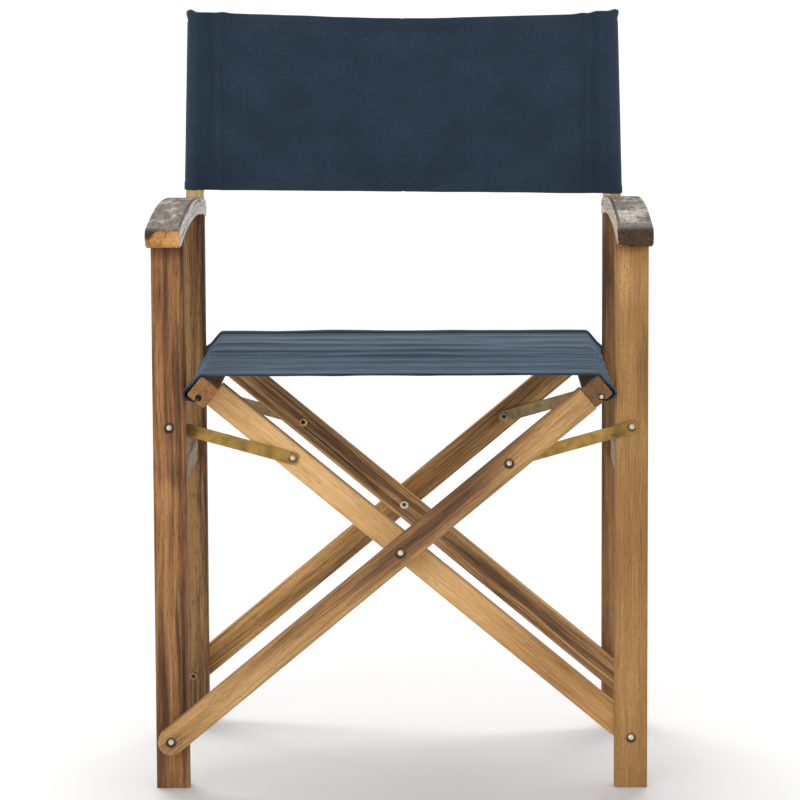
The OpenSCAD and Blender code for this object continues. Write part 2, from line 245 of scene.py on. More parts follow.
def wood(name, turn, seed, palette, contrast, pores, marks=(), specks=0.0, weather=None):
    """Oiled hardwood in four colours, pale to deep. turn brings the grain onto X, and marks are in those
    turned axes: darker where their amount is above 0."""
    material, tree, surface = new_material(name)
    pale, main, dark, deep = (srgb(*colour) for colour in palette)
    coords = put(tree, "ShaderNodeTexCoord").outputs["Object"]
    turned = put(tree, "ShaderNodeMapping", {"Vector": coords, "Rotation": turn}).outputs[0]
    place = (seed * 1.37, seed * 0.731, seed * 0.917)
    grain = vector_of(tree, "ADD", turned, place)
    drift_inputs = {"Vector": scaled(tree, grain, (4, 18, 18)), "Scale": 1.0, "Detail": 2.0}
    drift = put(tree, "ShaderNodeTexNoise", drift_inputs).outputs["Color"]
    wavy = vector_of(tree, "ADD", grain, scaled(tree, drift, (0.0, 0.014, 0.014)))
    fibre = noise_at(tree, wavy, 24, 1000, 2.0)
    pore = noise_at(tree, wavy, 80, 1250, 1.0, 0.5)
    fleck = noise_at(tree, wavy, 60, 520, 2.0)
    layers = ((wavy, 1.7, 36, 1.0), (wavy, 2.8, 125, 1.15), (wavy, 5.5, 400, 0.95), (grain, 9, 30, 0.45))
    bands = [swing(tree, noise_at(tree, *where), share * contrast) for *where, share in layers]
    tone = added(tree, *bands, swing(tree, fibre, 0.45), marked(tree, turned, marks, 0.5))
    colour = ramp_of(tree, tone, ((0.22, pale), (0.45, main), (0.64, dark), (0.86, deep)))
    colour = mixed(tree, remap(tree, pore, 0.58, 0.70, 0.0, pores), colour, deep)
    colour = mixed(tree, remap(tree, fleck, 0.62, 0.74, 0.0, pores * 0.7), colour, dark)
    if specks:
        speck = noise_at(tree, grain, 420, 640, 3.0, 0.7)
        colour = mixed(tree, remap(tree, speck, 0.50, 0.68, 0.0, specks), colour, dark)
    if weather:
        colour = weathered(tree, colour, turned, grain, *weather)
    tree.links.new(colour, surface.inputs["Base Color"])
    tree.links.new(remap(tree, fibre, 0.3, 0.8, 0.56, 0.78), surface.inputs["Roughness"])
    raised = math_of(tree, "MULTIPLY", fibre, 0.6)
    relief = math_of(tree, "SUBTRACT", raised, remap(tree, pore, 0.58, 0.72))
    bumped(tree, surface, relief, 0.4, 0.4 * MM)
    surface.inputs["Specular IOR Level"].default_value = 0.22
    return material


ARM_BEND = 0.28  # how far an armrest drops for the square of the distance from its middle


def weathered(tree, colour, turned, grain, silver_marks, stain_marks, side_pale, side_dull):
    """Sun-bleached armrest: silver fuzz in patches on a brown-grey top, white sides with dark cracks, and
    ends in the raw colour. It is sooty at the stain marks."""
    normal = put(tree, "ShaderNodeNewGeometry").outputs["Normal"]
    parts = put(tree, "ShaderNodeSeparateXYZ", {0: normal})
    upward = remap(tree, parts.outputs["Z"], 0.62, 0.86)
    sideways = remap(tree, math_of(tree, "ABSOLUTE", parts.outputs["X"], 0.0), 0.45, 0.85)
    fuzz = noise_at(tree, grain, 240, 130, 5.0, 0.75, 0.5)
    crack = noise_at(tree, grain, 9, 300, 4.0, 0.65)
    patch = noise_at(tree, grain, 24, 70, 4.0, 0.65)
    patch = marked(tree, turned, silver_marks, patch)
    base = mixed(tree, remap(tree, crack, 0.40, 0.66), srgb(112, 100, 82), srgb(70, 60, 48))
    silver = mixed(tree, remap(tree, fuzz, 0.40, 0.64), srgb(200, 195, 184), srgb(118, 109, 95))
    silver = mixed(tree, remap(tree, crack, 0.60, 0.70, 0.0, 0.7), silver, srgb(64, 56, 48))
    top = mixed(tree, remap(tree, patch, 0.48, 0.70), base, silver)
    run = put(tree, "ShaderNodeSeparateXYZ", {0: turned}).outputs["X"]
    drop = math_of(tree, "MULTIPLY", math_of(tree, "MULTIPLY", run, run), ARM_BEND)
    lift = put(tree, "ShaderNodeCombineXYZ", {"Z": drop}).outputs[0]
    bent = vector_of(tree, "ADD", grain, lift)
    streak = noise_at(tree, bent, 16, 330, 4.0, 0.7)
    scar = noise_at(tree, bent, 9, 240, 4.0, 0.7)
    side = mixed(tree, remap(tree, streak, 0.38, 0.62), side_pale, side_dull)
    side = mixed(tree, remap(tree, scar, 0.53, 0.64, 0.0, 0.85), side, srgb(84, 75, 66))
    colour = mixed(tree, upward, colour, top)
    colour = mixed(tree, sideways, colour, side)
    stain = math_of(tree, "ADD", marked(tree, turned, stain_marks), swing(tree, crack, 0.8))
    mottle = noise_at(tree, grain, 200, 260, 4.0, 0.7)
    soot = mixed(tree, remap(tree, mottle, 0.38, 0.62), srgb(68, 55, 43), srgb(36, 29, 23))
    return mixed(tree, remap(tree, stain, 0.3, 0.6, 0.0, 0.94), colour, soot)


# ---------------------------------------------------------------- metal

def metal(name, light, dark, roughness, spots=0.4, marks=(), painted_shade=()):
    """Plated steel with a faintly cloudy finish, fine scratches and a few dull spots. It is darker at its
    marks, which are painted shadow on the brass links, and brown-black at its painted shade marks, in sockets
    and round domes."""
    material, tree, surface = new_material(name)
    coords = put(tree, "ShaderNodeTexCoord").outputs["Object"]
    cloud = noise_of(tree, scaled(tree, coords, (55, 55, 55)), 5.0, 0.7)
    scratch = noise_of(tree, scaled(tree, coords, (260, 260, 1900)), 2.0, 0.6)
    spot = noise_of(tree, scaled(tree, coords, (420, 420, 420)), 3.0, 0.6)
    # cloudy tarnish, and painted shadow at the marks on the brass links
    tarnish_and_shadow = marked(tree, coords, marks, remap(tree, cloud, 0.35, 0.7, 0.0, 0.6))
    colour = mixed(tree, tarnish_and_shadow, light, dark)
    colour = mixed(tree, remap(tree, spot, 0.60, 0.72, 0.0, spots), colour, (0.03, 0.025, 0.02, 1))
    if painted_shade:
        # painted shade: brown-black in the sockets and round the domes
        colour = mixed(tree, marked(tree, coords, painted_shade), colour, srgb(52, 42, 30))
    tree.links.new(colour, surface.inputs["Base Color"])
    cloudy = remap(tree, cloud, 0.3, 0.7, roughness, roughness + 0.12)
    scratched = remap(tree, scratch, 0.3, 0.7, 0.0, 0.12)
    tree.links.new(added(tree, scratched, cloudy), surface.inputs["Roughness"])
    height = math_of(tree, "ADD", math_of(tree, "MULTIPLY", scratch, 0.4), cloud)
    bumped(tree, surface, height, 0.2, 0.3 * MM)
    surface.inputs["Metallic"].default_value = 1.0
    return material


# ---------------------------------------------------------------- cloth

def woven(name, light, dark, pale):
    """Plain-woven cotton canvas. Its UVs are metres on the flat cloth. A point attribute holds painted shade
    and highlight, with some random fading: 0.5 is neither; above it is paler, below it darker."""
    material, tree, surface = new_material(name)
    flat = put(tree, "ShaderNodeUVMap", uv_map="cloth").outputs[0]
    shading_tone = put(tree, "ShaderNodeAttribute", attribute_name="shade_and_tone").outputs["Fac"]
    pitch = 0.9 * MM
    yarn = math.pi / 10 / pitch
    wave = {"Vector": flat, "Scale": yarn / 2, "Distortion": 0.6, "Detail": 1.0, "Detail Scale": 0.8}
    weft, warp = (
        put(tree, "ShaderNodeTexWave", wave, wave_type="BANDS", bands_direction=axis).outputs["Fac"]
        for axis in "XY"
    )
    weave = math_of(tree, "MULTIPLY", weft, warp)
    slub = noise_of(tree, scaled(tree, flat, (160, 900, 1)), 2.0, 0.6)
    speck = noise_of(tree, scaled(tree, flat, (430, 380, 1)), 3.0, 0.75)
    faded = noise_of(tree, scaled(tree, flat, (13, 13, 1)), 4.0, 0.6)
    colour = mixed(tree, remap(tree, weave, 0.0, 0.7, 0.0, 0.45), dark, light)
    colour = mixed(tree, remap(tree, speck, 0.40, 0.62), dark, colour)
    colour = mixed(tree, remap(tree, speck, 0.60, 0.75, 0.0, 0.62), colour, pale)
    colour = mixed(tree, remap(tree, faded, 0.3, 0.75, 0.0, 0.35), colour, light)
    colour = mixed(tree, remap(tree, slub, 0.35, 0.65, 0.0, 0.3), colour, dark)
    # painted highlight and random fading where the attribute is above 0.5, painted shade where it is below
    colour = mixed(tree, remap(tree, shading_tone, 0.5, 1.0, 0.0, 0.5), colour, pale)
    colour = mixed(tree, remap(tree, shading_tone, 0.5, 0.0, 0.0, 0.8), colour, srgb(14, 23, 35))
    tree.links.new(colour, surface.inputs["Base Color"])
    height = math_of(tree, "ADD", weave, math_of(tree, "MULTIPLY", speck, 0.8))
    bumped(tree, surface, height, 0.5, 0.4 * MM)
    surface.inputs["Roughness"].default_value = 0.88
    surface.inputs["Specular IOR Level"].default_value = 0.2
    surface.inputs["Sheen Weight"].default_value = 0.25
    surface.inputs["Sheen Roughness"].default_value = 0.5
    surface.inputs["Sheen Tint"].default_value = (0.42, 0.62, 0.8, 1)
    return material


def thread_material(name, light, dark):
    material, tree, surface = new_material(name)
    coords = put(tree, "ShaderNodeTexCoord").outputs["Object"]
    twist = noise_of(tree, scaled(tree, coords, (1800, 1800, 1800)), 2.0, 0.5)
    tree.links.new(mixed(tree, remap(tree, twist, 0.3, 0.7), light, dark), surface.inputs["Base Color"])
    bumped(tree, surface, twist, 0.4, 0.2 * MM)
    surface.inputs["Roughness"].default_value = 0.8
    return material


def grid_normals(points):
    """Unit normals of a grid of points, as rows x columns x 3."""
    along = np.gradient(points, axis=0)
    across = np.gradient(points, axis=1)
    normals = np.cross(along, across)
    return normals / np.maximum(np.linalg.norm(normals, axis=2, keepdims=True), 1e-12)


def sheet_grids(rows, cols):
    """Empty grids for a sheet's points, flat coordinates, thickness and painted shade with random tone."""
    return [np.zeros((rows, cols, *more)) for more in ((3,), (2,), (), ())]


def cloth_mesh(name, points, flat, thickness, shade_and_tone):
    """A closed sheet with soft edges about a grid of middle points, with its flat coordinates as UVs."""
    rows, cols = points.shape[:2]
    normals = grid_normals(points)
    half = thickness[:, :, None] / 2
    top = points + normals * half
    low = points - normals * half
    verts = np.concatenate([top.reshape(-1, 3), low.reshape(-1, 3)])
    uvs = np.concatenate([flat.reshape(-1, 2), flat.reshape(-1, 2)])
    index = np.arange(rows * cols).reshape(rows, cols)
    under = index + rows * cols
    faces = []
    for i in range(rows - 1):
        for j in range(cols - 1):
            corners = ((i, j), (i + 1, j), (i + 1, j + 1), (i, j + 1))
            faces.append([index[at] for at in corners])
            faces.append([under[corners[k]] for k in (0, 3, 2, 1)])
    rim = [(i, 0) for i in range(rows)] + [(rows - 1, j) for j in range(1, cols)]
    rim += [(i, cols - 1) for i in range(rows - 2, -1, -1)] + [(0, j) for j in range(cols - 2, 0, -1)]
    start = len(verts)
    edge_points = []
    for i, j in rim:
        inner_i = min(max(i, 1), rows - 2)
        inner_j = min(max(j, 1), cols - 2)
        out = points[i, j] - points[inner_i, inner_j]
        out = out / max(np.linalg.norm(out), 1e-9)
        edge_points.append(points[i, j] + out * half[i, j] * 0.8)
    verts = np.concatenate([verts, edge_points])
    uvs = np.concatenate([uvs, [flat[at] for at in rim]])
    count = len(rim)
    for k in range(count):
        i, j = rim[k]
        i2, j2 = rim[(k + 1) % count]
        m, m2 = start + k, start + (k + 1) % count
        faces.append((index[i, j], index[i2, j2], m2, m)[::-1])
        faces.append((m, m2, under[i2, j2], under[i, j])[::-1])
    mesh = bpy.data.meshes.new(name)
    mesh.from_pydata([tuple(v) for v in verts], [], [tuple(int(n) for n in f) for f in faces])
    layer = mesh.uv_layers.new(name="cloth")
    loops = np.zeros(len(mesh.loops), np.int32)
    mesh.loops.foreach_get("vertex_index", loops)
    layer.data.foreach_set("uv", uvs[loops].astype(np.float32).ravel())
    # painted shade and highlight, with random tone, for each point, kept as a point attribute
    shading_tone = np.concatenate([shade_and_tone.ravel(), shade_and_tone.ravel(), [shade_and_tone[at] for at in rim]])
    attribute = mesh.attributes.new("shade_and_tone", "FLOAT", "POINT")
    attribute.data.foreach_set("value", shading_tone.astype(np.float32))
    mesh.shade_smooth()
    work = bmesh.new()
    work.from_mesh(mesh)
    bmesh.ops.recalc_face_normals(work, faces=work.faces)
    work.to_mesh(mesh)
    work.free()
    return mesh


def wander(x, y, seed, step):
    """Smooth noise from -1 to 1 that changes over about step metres."""
    return noise.noise(Vector((x / step + seed * 7.3, y / step - seed * 3.1, seed * 1.7)))


def bell(value, centre, width):
    return math.exp(-((value - centre) / width) ** 2)


def smooth(value):
    """A smooth step from 0 to 1."""
    value = np.clip(value, 0, 1)
    return value * value * (3 - 2 * value)


def arc(centre, radius, start, end, count):
    """Points on an arc, in degrees, as x, z pairs."""
    angles = np.radians(np.linspace(start, end, count))
    return [(centre[0] + radius * math.cos(a), centre[1] + radius * math.sin(a)) for a in angles]


def run_along(points):
    """How far along a line each of its points is."""
    steps = np.linalg.norm(np.diff(points, axis=0), axis=1)
    return np.concatenate([[0], np.cumsum(steps)])


def points_at(at, run, points):
    """A line's values at given distances along it."""
    return np.stack([np.interp(at, run, points[:, k]) for k in range(points.shape[1])], axis=-1)


def spread_to(points, count):
    """The same line with a given number of points, evenly apart."""
    run = run_along(points)
    return points_at(np.linspace(0, run[-1], count), run, points)


def spread_evenly(points, step):
    """The same line with points about step apart, which keeps its corners round."""
    points = np.array(points)
    count = max(2, int(round(run_along(points)[-1] / step)) + 1)
    return spread_to(points, count)


# ---------------------------------------------------------------- seat canvas

CENTRE_Z = 0.272  # height of the centre pivots
RAIL_REACH = 0.285  # from a centre pivot to a seat rail's middle, along the brace
RAIL_A = 0.0125  # half of a rail's section along the brace
RAIL_B = 0.0135  # and across it
RAIL_EDGE = 0.003
ROD_B = -0.0078
ROD_R = 0.0023
CLOTH = 1.1 * MM  # thickness
SEAT_HALF = 0.2185  # half of the seat cloth's width
HEM = 0.009
SECTION_STEP = 0.8 * MM
TOP_POINTS = 112
HEM_STEPS = (0, 0.6, 1.6, 4, 7.6, 8.4, 9.2, 10.4)  # rows near each edge, in mm from it
HEM_END = 0.0135
INNER_ROWS = 119
STITCHED_ROW = 7
# painted shade of the cloth inside a rail's groove
GROOVE_SHADE = 0.25
LEFT_SLACK = 2.8  # in mm, how far the cloth's corners stand off the rails
RIGHT_SLACK = 1.8
SLACK_FROM = 0.199
SLACK_EASE = 0.012
HIDDEN_POINTS = 24  # at each end of the line, in the groove


def rail_section():
    """Right half of the seat cloth's middle line, from the rod in the groove to the rail's top, in the
    rail's own axes: along the brace, and across it."""
    off = CLOTH / 2 + 0.25 * MM
    around = ROD_R + CLOTH / 2 + 0.05 * MM
    loop = arc((0, ROD_B), around, -125, -425, 28)
    slot_a = 0.5 * MM
    down = [(slot_a, ROD_B - 4.4 * MM), (slot_a, -RAIL_B + 0.2 * MM)]
    turn_r = 1.2 * MM
    out = arc((slot_a + turn_r + off, -RAIL_B), turn_r + off, 180, 270, 7)
    face_b = out[-1][1]
    corner_r = RAIL_EDGE + off
    low_corner = arc((RAIL_A - RAIL_EDGE, -RAIL_B + RAIL_EDGE), corner_r, -90, 0, 12)
    low_corner[0] = (low_corner[0][0], min(face_b, low_corner[0][1]))
    level = 90 - math.degrees(BRACE_ANGLE)
    top_corner = arc((RAIL_A - RAIL_EDGE, RAIL_B - RAIL_EDGE), corner_r, 0, level, 10)
    return loop + down + out + low_corner + top_corner


def seat_line():
    """The seat cloth's middle line from the left groove to the right one, as x, z pairs. With each point
    come how free it is of the groove, how near to a rail's lower outer corner, and how far down a rail."""
    section = spread_evenly(rail_section(), SECTION_STEP)
    cos, sin = math.cos(BRACE_ANGLE), math.sin(BRACE_ANGLE)
    a = section[:, 0] + RAIL_REACH
    b = section[:, 1]
    right = np.stack([a * cos - b * sin, CENTRE_Z + a * sin + b * cos], axis=1)
    run = np.linspace(0, 1, len(right))
    free = np.clip((run - 0.36) / 0.12, 0, 1)
    corner = np.exp(-((run - 0.53) / 0.10) ** 2)
    left = right * np.array([-1, 1])
    top = np.linspace(left[-1], right[-1], TOP_POINTS)[1:-1]
    line = np.concatenate([left, top, right[::-1]])
    none = np.zeros(len(top))
    down = run_along(right[::-1])[::-1]
    facts = ((free, 1), (corner, 0), (down, 0))
    return line, [np.concatenate([part, none + fill, part[::-1]]) for part, fill in facts]


RIDGES = (
    # place from front to back, width before it and behind it, height, drift, seed, middle, half length
    (0.102, 0.012, 0.026, 3.4, 0.005, 3, -0.17, 0.10),
    (0.088, 0.010, 0.016, 3.0, 0.005, 13, 0.01, 0.10),
    (0.118, 0.014, 0.020, 1.6, 0.006, 14, 0.17, 0.10),
    (0.020, 0.010, 0.020, 3.2, 0.006, 2, -0.16, 0.14),
    (0.030, 0.012, 0.018, 3.0, 0.005, 7, 0.04, 0.09),
    (0.058, 0.010, 0.020, 1.6, 0.006, 8, 0.18, 0.10),
    (-0.028, 0.012, 0.020, 3.6, 0.006, 1, 0.02, 0.12),
    (-0.014, 0.006, 0.010, 1.2, 0.006, 9, 0.18, 0.10),
    (-0.010, 0.008, 0.014, 1.4, 0.006, 10, -0.18, 0.09),
    (-0.082, 0.014, 0.024, 1.0, 0.008, 15, 0.00, 0.30),
    (-0.136, 0.016, 0.026, 1.1, 0.010, 5, 0.06, 0.24),
    (-0.205, 0.010, 0.016, 1.2, 0.003, 16, 0.00, 0.40),
    (0.152, 0.010, 0.018, 1.8, 0.005, 6, -0.08, 0.16),
    (0.176, 0.008, 0.014, 1.4, 0.005, 17, 0.12, 0.14),
    (0.222, 0.016, 0.030, 3.8, 0.002, 4, 0.00, 0.60),
)


def ripple(x, y):
    """Height of the seat cloth's ripples, which run from rail to rail."""
    height = 0.35 * wander(x * 0.4, y, 11, 0.022) + 0.3 * wander(x * 0.3, y, 12, 0.010)
    for place, before, behind, size, drift, seed, across, half in RIDGES:
        centre = place + drift * wander(x, 0, seed, 0.16)
        width = before if y < centre else behind
        swell = (0.85 + 0.4 * wander(x, 0, seed + 20, 0.08)) * bell(x, across, half)
        height += size * swell * bell(y, centre, width)
    return max(height, -0.2) * MM


def seat_shade_and_tone(x, y):
    """Painted shade and highlight: paler on the ripples' crests and back slopes, darker on the slopes that
    face the front; with random tone, and a little darker towards the back.
    """
    step = 3 * MM
    slope = (ripple(x, y + step) - ripple(x, y - step)) / (2 * step)
    bend = (ripple(x, y + 2 * step) + ripple(x, y - 2 * step) - 2 * ripple(x, y)) / (4 * step * step)
    shade = -6.0 * max(slope, 0) + 1.8 * max(-slope, 0) - 0.018 * bend
    fine = 0.14 * wander(x * 0.12, y, 15, 0.004) + 0.13 * wander(x * 0.3, y, 16, 0.011)
    even = 0.66 - 0.08 * smooth((y - 0.06) / 0.06)
    return min(max(even + shade + fine, 0.0), 1.0)


SIDE_FOLDS = (
    # side, distance down the rail's side in the middle of the chair's depth, slant, height, width
    (1, 0.0085, -0.030, 1.3, 0.0022),
    (1, 0.0150, -0.024, 1.1, 0.0020),
    (1, 0.0215, -0.020, 0.9, 0.0018),
    (-1, 0.0070, -0.012, 0.9, 0.0018),
    (-1, 0.0130, -0.016, 1.1, 0.0020),
    (-1, 0.0190, -0.010, 0.9, 0.0018),
)


def side_fold(x, down, y):
    """Height in mm, and shade, of the creases that run from front to back over a rail's side."""
    height, shade = 0.0, 0.0
    for side, place, slant, size, width in SIDE_FOLDS:
        if side * x > 0 and down > 0:
            off = down - place - slant * y - 1.2 * MM * wander(y, 0, size * 9, 0.05)
            height += size * bell(off, 0, width)
            shade += 0.22 * bell(off, 0, width * 0.8) - 0.55 * bell(off, width * 1.3, width * 0.7)
    ease = smooth(down / (4 * MM)) * (1 - smooth((y - 0.09) / 0.07))
    return height * ease, shade * ease


def seat_canvas():
    """The seat cloth, its length, and the rows of stitches along its two hems."""
    line, (free, corner, down) = seat_line()
    run = run_along(line)
    tangent = np.gradient(line, axis=0)
    outward = np.stack([-tangent[:, 1], tangent[:, 0]], axis=1)
    outward /= np.linalg.norm(outward, axis=1, keepdims=True)
    edge = np.array(HEM_STEPS) * MM
    inner = np.linspace(-SEAT_HALF + HEM_END, SEAT_HALF - HEM_END, INNER_ROWS)
    ys = np.concatenate([-SEAT_HALF + edge, inner, SEAT_HALF - edge[::-1]])
    points, flat, thick, shade_and_tone = sheet_grids(len(line), len(ys))
    for i, (x, z) in enumerate(line):
        for j, y in enumerate(ys):
            fold, shade = side_fold(x, down[i], y)
            in_groove = free[i] <= 0.5
            # painted shade: dark in the groove; elsewhere the painted shade and highlight of the ripples and
            # creases
            shade_and_tone[i, j] = GROOVE_SHADE if in_groove else min(max(seat_shade_and_tone(x, y) + shade, 0.0), 1.0)
            hem = smooth((abs(y) - SEAT_HALF + HEM) / (0.9 * MM)) * free[i]
            slack = LEFT_SLACK if x < 0 else RIGHT_SLACK
            loose = smooth((abs(y) - SLACK_FROM) / SLACK_EASE) * corner[i] * slack
            lift = ripple(x, y) + 0.35 * MM + fold * MM
            lift = free[i] ** 2 * lift + hem * 0.55 * CLOTH + loose * MM
            points[i, j] = (x + outward[i, 0] * lift, y, z + outward[i, 1] * lift)
            flat[i, j] = (run[i], y)
            thick[i, j] = CLOTH * (1 + 1.1 * hem)
    seat = new_object("seat_cloth", cloth_mesh("seat_cloth", points, flat, thick, shade_and_tone))
    normals = grid_normals(points)
    shown = slice(HIDDEN_POINTS, len(line) - HIDDEN_POINTS)
    rows = [(points[shown, k], normals[shown, k]) for k in (STITCHED_ROW, len(ys) - 1 - STITCHED_ROW)]
    return seat, run[-1], rows


# ---------------------------------------------------------------- stitches

STITCH = 2.7 * MM
STITCH_GAP = 0.9 * MM
THREAD_R = 0.38 * MM


def stitches(name, rows, lift, material):
    """Short rounded stitches along rows of points, each lying on its sheet, lift away from the row."""
    verts, faces = [], []
    sides = 6
    shape = ((-0.5, 0.15), (-0.36, 0.9), (0.0, 1.0), (0.36, 0.9), (0.5, 0.15))
    for path, normals in rows:
        run = run_along(path)
        for at in np.arange(STITCH, run[-1] - STITCH, STITCH + STITCH_GAP):
            here = points_at(at, run, path)
            ahead = points_at(at + STITCH / 2, run, path) - here
            along = ahead / np.linalg.norm(ahead)
            out = points_at(at, run, normals)
            out -= along * (out @ along)
            out /= np.linalg.norm(out)
            aside = np.cross(along, out)
            start = len(verts)
            for place, width in shape:
                for k in range(sides):
                    turn = 2 * math.pi * k / sides
                    ring = aside * math.cos(turn) + out * math.sin(turn) * 0.8
                    sink = THREAD_R * (0.2 - 1.2 * (2 * place) ** 4)
                    core = here + out * (lift + sink) + along * place * STITCH
                    verts.append(core + ring * THREAD_R * width)
            for r in range(len(shape) - 1):
                for k in range(sides):
                    a, b = start + r * sides + k, start + r * sides + (k + 1) % sides
                    faces.append((a, b, b + sides, a + sides))
            faces.append(tuple(start + k for k in reversed(range(sides))))
            last = start + (len(shape) - 1) * sides
            faces.append(tuple(last + k for k in range(sides)))
    mesh = bpy.data.meshes.new(name)
    mesh.from_pydata([tuple(v) for v in verts], [], faces)
    mesh.shade_smooth()
    mesh.materials.append(material)
    return new_object(name, mesh)


# ---------------------------------------------------------------- back canvas

POST_X = 0.252  # a post's middle line where it leaves the armrest
POST_Y = 0.1845
POST_LEAN = math.tan(math.radians(1.5))
ARM_SEAT_Z = 0.64177
POST_R = 0.01075
SEAM_X = 0.2155  # between the panel and a sleeve
SEAM_LINES = (0.2130, 0.2180)
PANEL_Y = POST_Y - 0.006
BACK_HEM = 0.009
BACK_MIDDLE_Z = 0.757
BACK_HEM_STEPS = (0, 0.5, 1.4, 3.5, 7.2, 8.0, 8.8, 10.0)  # rows near each edge, in mm from it
BACK_HEM_END = 0.014
BACK_INNER_ROWS = 48
SLEEVE_STEP = 1.9 * MM
HALF_COLUMNS = 74
ROW_POINTS = 60


def side_name(side):
    return "left" if side < 0 else "right"


def post_axis(z):
    """How far the posts' middle lines are from the chair's middle at a height."""
    return POST_X - (z - ARM_SEAT_Z) * POST_LEAN


def back_top(x):
    """Height of the back cloth's upper edge, worked out in mm. It sags between the posts and stands up at
    its outer corners."""
    far = abs(x) / MM
    height = 857 + 5.0 * smooth(far / 225) - 1.6 * x / 0.25 + 0.3 * wander(x, 0, 31, 0.03)
    over_post, tip = (1.1, 3.4) if x < 0 else (3.9, 2.2)
    height += 1.6 * bell(far, 217, 9) + over_post * smooth((far - 220) / 15)
    height += tip * bell(far, 257, 5)
    return height * MM


def back_low(x):
    return (650.0 - 3.0 * x / 0.262 + 0.5 * wander(x, 0, 32, 0.05)) * MM


def back_y(x, z):
    """Depth of the back cloth's panel: nearly flat, with its upper hem rolled forward in the middle."""
    hem = bell(back_top(x) - z, 0, 0.010) * bell(x, 0.01, 0.13)
    wave = 0.9 * wander(x, z, 33, 0.16) + 0.25 * wander(x, z * 0.4, 34, 0.04)
    settle = smooth((SEAM_X - abs(x)) / 0.03)
    return PANEL_Y - 3.2 * MM * hem + wave * MM * settle


def back_heights(x):
    """Heights of one column's points, from the lower edge to the upper one, close together at the hems."""
    edge = np.array(BACK_HEM_STEPS) * MM
    low, high = back_low(x), back_top(x)
    inner = np.linspace(low + BACK_HEM_END, high - BACK_HEM_END, BACK_INNER_ROWS)
    return np.concatenate([low + edge, inner, high - edge[::-1]])


def hem_thickness(x, z):
    near = min(z - back_low(x), back_top(x) - z)
    seam = bell(abs(x), SEAM_X, 0.0045)
    return CLOTH * (1 + 0.85 * smooth((BACK_HEM - near) / (0.9 * MM)) + 0.35 * seam)


def back_shade_and_tone(x, z):
    """Painted shade: darker in the hollow beside each post, at the seams and under the upper hem. Painted
    highlight over each post, and some random tone.
    """
    far = abs(x)
    shade = 0.5 - 0.17 * bell(far, 0.231, 0.009) - 0.08 * bell(far, SEAM_X, 0.004)
    shade += 0.06 * bell(far, POST_X, 0.007)
    shade -= 0.14 * bell(back_top(x) - z, 0.012, 0.005) * bell(x, 0.03, 0.13)
    return shade + 0.05 * wander(x, z, 51, 0.05)


def back_sheet(name, columns, place):
    """A sheet of the back cloth. columns are distances along it, and place(column, z) gives x and y."""
    points, flat, thick, shade_and_tone = sheet_grids(len(columns), len(back_heights(SEAM_X)))
    for i, column in enumerate(columns):
        x_mean = place(column, BACK_MIDDLE_Z)[0]
        for j, z in enumerate(back_heights(x_mean)):
            shade_and_tone[i, j] = back_shade_and_tone(x_mean, z)
            x, y = place(column, z)
            points[i, j] = (x, y, z)
            flat[i, j] = (column, z)
            thick[i, j] = hem_thickness(x_mean, z)
    return cloth_mesh(name, points, flat, thick, shade_and_tone)


def sleeve_outline(z, side):
    """The sleeve's middle line at a height, from the seam in front, round the post, to the flap behind. The
    pairs are distances from the post's middle line: to the chair's middle, and to the rear."""
    reach = post_axis(z) - SEAM_X
    gap = 0.5 + 0.9 * smooth((z - 0.859) / 0.005) - 0.5 * bell(z, 0.857, 0.003)
    around = POST_R + CLOTH / 2 + gap * MM
    seam_w = PANEL_Y - POST_Y
    pull = 1 + 0.25 * wander(side, z, 41, 0.05)
    front = []
    for t in np.linspace(0, 1, 12)[:-1]:
        dip = 3.2 * MM * pull * math.sin(math.pi * t) ** 1.5
        front.append((reach * (1 - t), seam_w + (-around - seam_w) * t ** 1.6 + dip))
    ring = arc((0, 0), around, -90, -270, 24)
    flap_w = seam_w + CLOTH * 1.45
    back = []
    for t in np.linspace(0, 1, 14)[1:]:
        back.append((reach * 0.93 * t, around + (flap_w - around) * smooth(t) ** 0.9))
    flap = [(reach + step * MM, flap_w) for step in (1, 3, 5, 7)]
    return spread_evenly(front + ring + back + flap, SLEEVE_STEP)


def sleeve(side):
    """The cloth round one post, and its flat length."""
    name = side_name(side) + "_sleeve_cloth"
    outline = sleeve_outline(BACK_MIDDLE_Z, side)
    count = len(outline)
    length = np.linalg.norm(np.diff(outline, axis=0), axis=1).sum()
    step = length / (count - 1)
    lines = {}

    def place(column, z):
        if z not in lines:
            lines[z] = spread_to(sleeve_outline(z, side), count)
        u, w = lines[z][int(round(column / step))]
        return side * (post_axis(z) - u), POST_Y + w

    mesh = back_sheet(name, [k * step for k in range(count)], place)
    return new_object(name, mesh), length


def back_half(side):
    """One half of the panel between the seams. Its middle edge is sharp, so no line shows where the halves
    meet."""
    name = side_name(side) + "_back_cloth"

    def place(column, z):
        return side * column, back_y(side * column, z)

    mesh = back_sheet(name, list(np.linspace(0, SEAM_X, HALF_COLUMNS)), place)
    for edge in mesh.edges:
        edge.use_edge_sharp = all(abs(mesh.vertices[end].co.x) < 0.1 * MM for end in edge.vertices)
    return new_object(name, mesh)


def upright_row(side, far):
    """A vertical row of stitches at one distance from the chair's middle, in front of the cloth."""
    x = side * far
    zs = np.linspace(back_low(x) + 2 * MM, back_top(x) - 2 * MM, ROW_POINTS)
    y = PANEL_Y - (0.9 * MM if far > SEAM_X else 0.8 * MM)
    return np.array([(x, y, z) for z in zs]), np.array([(0, -1, 0)] * len(zs), float)


